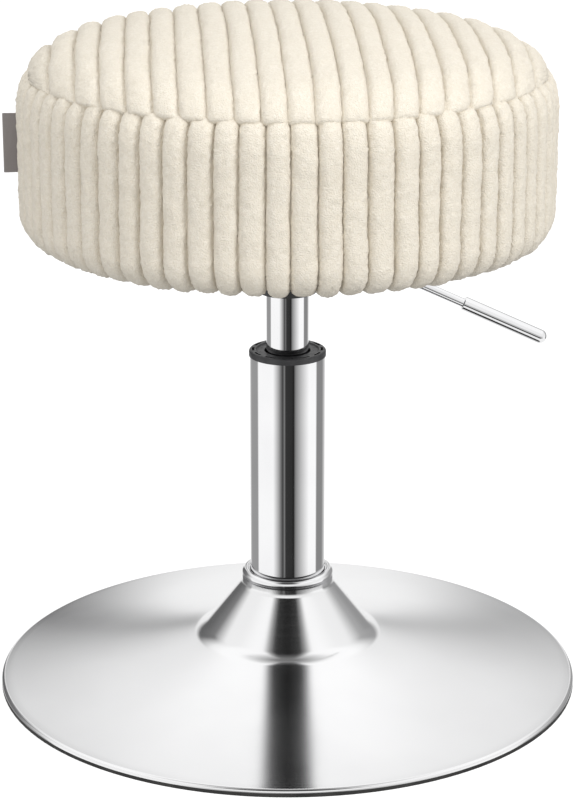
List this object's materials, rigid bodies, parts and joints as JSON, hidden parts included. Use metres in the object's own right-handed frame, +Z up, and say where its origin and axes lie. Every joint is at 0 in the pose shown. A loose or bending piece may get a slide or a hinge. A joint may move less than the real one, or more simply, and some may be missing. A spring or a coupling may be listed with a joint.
{
  "type": "swivel stool",
  "caption": "Low swivel stool: round ribbed plush drum seat on a gas lift column with a release lever and a trumpet floor dish.",
  "frame": {"origin": "on the floor, on the swivel axis under the middle of the dish", "axes": "+Z up along the swivel axis, +X along the release lever"},
  "size_m": [0.39, 0.39, 0.4537],
  "materials": {
    "satin_chrome": "satin",
    "polished_chrome": "polished",
    "black_rubber": "matte",
    "black_plastic": "satin",
    "white_plastic": "satin",
    "zinc_steel": "satin",
    "aluminium": "satin",
    "black_steel": "satin",
    "plywood": "matte",
    "foam": "matte",
    "cream_plush": "matte",
    "grey_tape": "matte",
    "dust_cloth": "matte"
  },
  "bodies": {
    "base": {"base_dish": "satin_chrome", "rim_ring": "black_rubber", "base_hub": "zinc_steel", "collar_ring": "polished_chrome", "outer_column": "polished_chrome", "column_cap": "black_plastic", "guide_bush": "white_plastic", "column_foot": "zinc_steel", "lower_race": "zinc_steel"},
    "spindle": {"piston_rod": "zinc_steel", "piston": "aluminium", "piston_seal": "black_rubber", "bearing_balls": "zinc_steel", "bearing_cage": "white_plastic", "upper_race": "zinc_steel", "rubber_bumper": "black_rubber", "rod_washer": "zinc_steel", "retaining_clip": "zinc_steel"},
    "seat": {"gas_cylinder": "polished_chrome", "cylinder_gland": "zinc_steel", "valve_plug": "zinc_steel", "pin_guide": "white_plastic", "taper_socket": "black_steel", "mechanism_housing": "black_steel", "mounting_plate": "black_steel", "plate_bolts": "zinc_steel", "spring_washers": "zinc_steel", "tee_nuts": "zinc_steel", "pivot_pin": "zinc_steel", "pin_clip": "zinc_steel", "seat_board": "plywood", "seat_foam": "foam", "cover_top": "cream_plush", "cover_side": "cream_plush", "side_tag": "grey_tape", "dust_cover": "dust_cloth", "staples": "zinc_steel"},
    "lever": {"lever_rod": "polished_chrome", "pivot_tube": "zinc_steel", "lever_grip": "polished_chrome"},
    "button": {"release_pin": "zinc_steel"}
  },
  "joints": [
    {"name": "seat_swivel", "type": "hinge", "parent": "base", "child": "spindle", "pos_m": [0, 0, 0], "axis": [0, 0, 1], "continuous": true},
    {"name": "seat_height", "type": "slide", "parent": "spindle", "child": "seat", "axis": [0, 0, 1], "range_m": [-0.036, 0.084]},
    {"name": "lever_lift", "type": "hinge", "parent": "seat", "child": "lever", "pos_m": [0.028, 0, 0.29262], "axis": [0, -1, 0], "range_deg": [0, 6], "stiffness_Nm_per_rad": 4, "springref_deg": -17.19},
    {"name": "button_press", "type": "slide", "parent": "seat", "child": "button", "axis": [0, 0, -1], "range_m": [0, 0.0034]}
  ],
  "couplings": [
    {"joint": "button_press", "follows": "lever_lift", "m_per_rad": 0.0302}
  ]
}
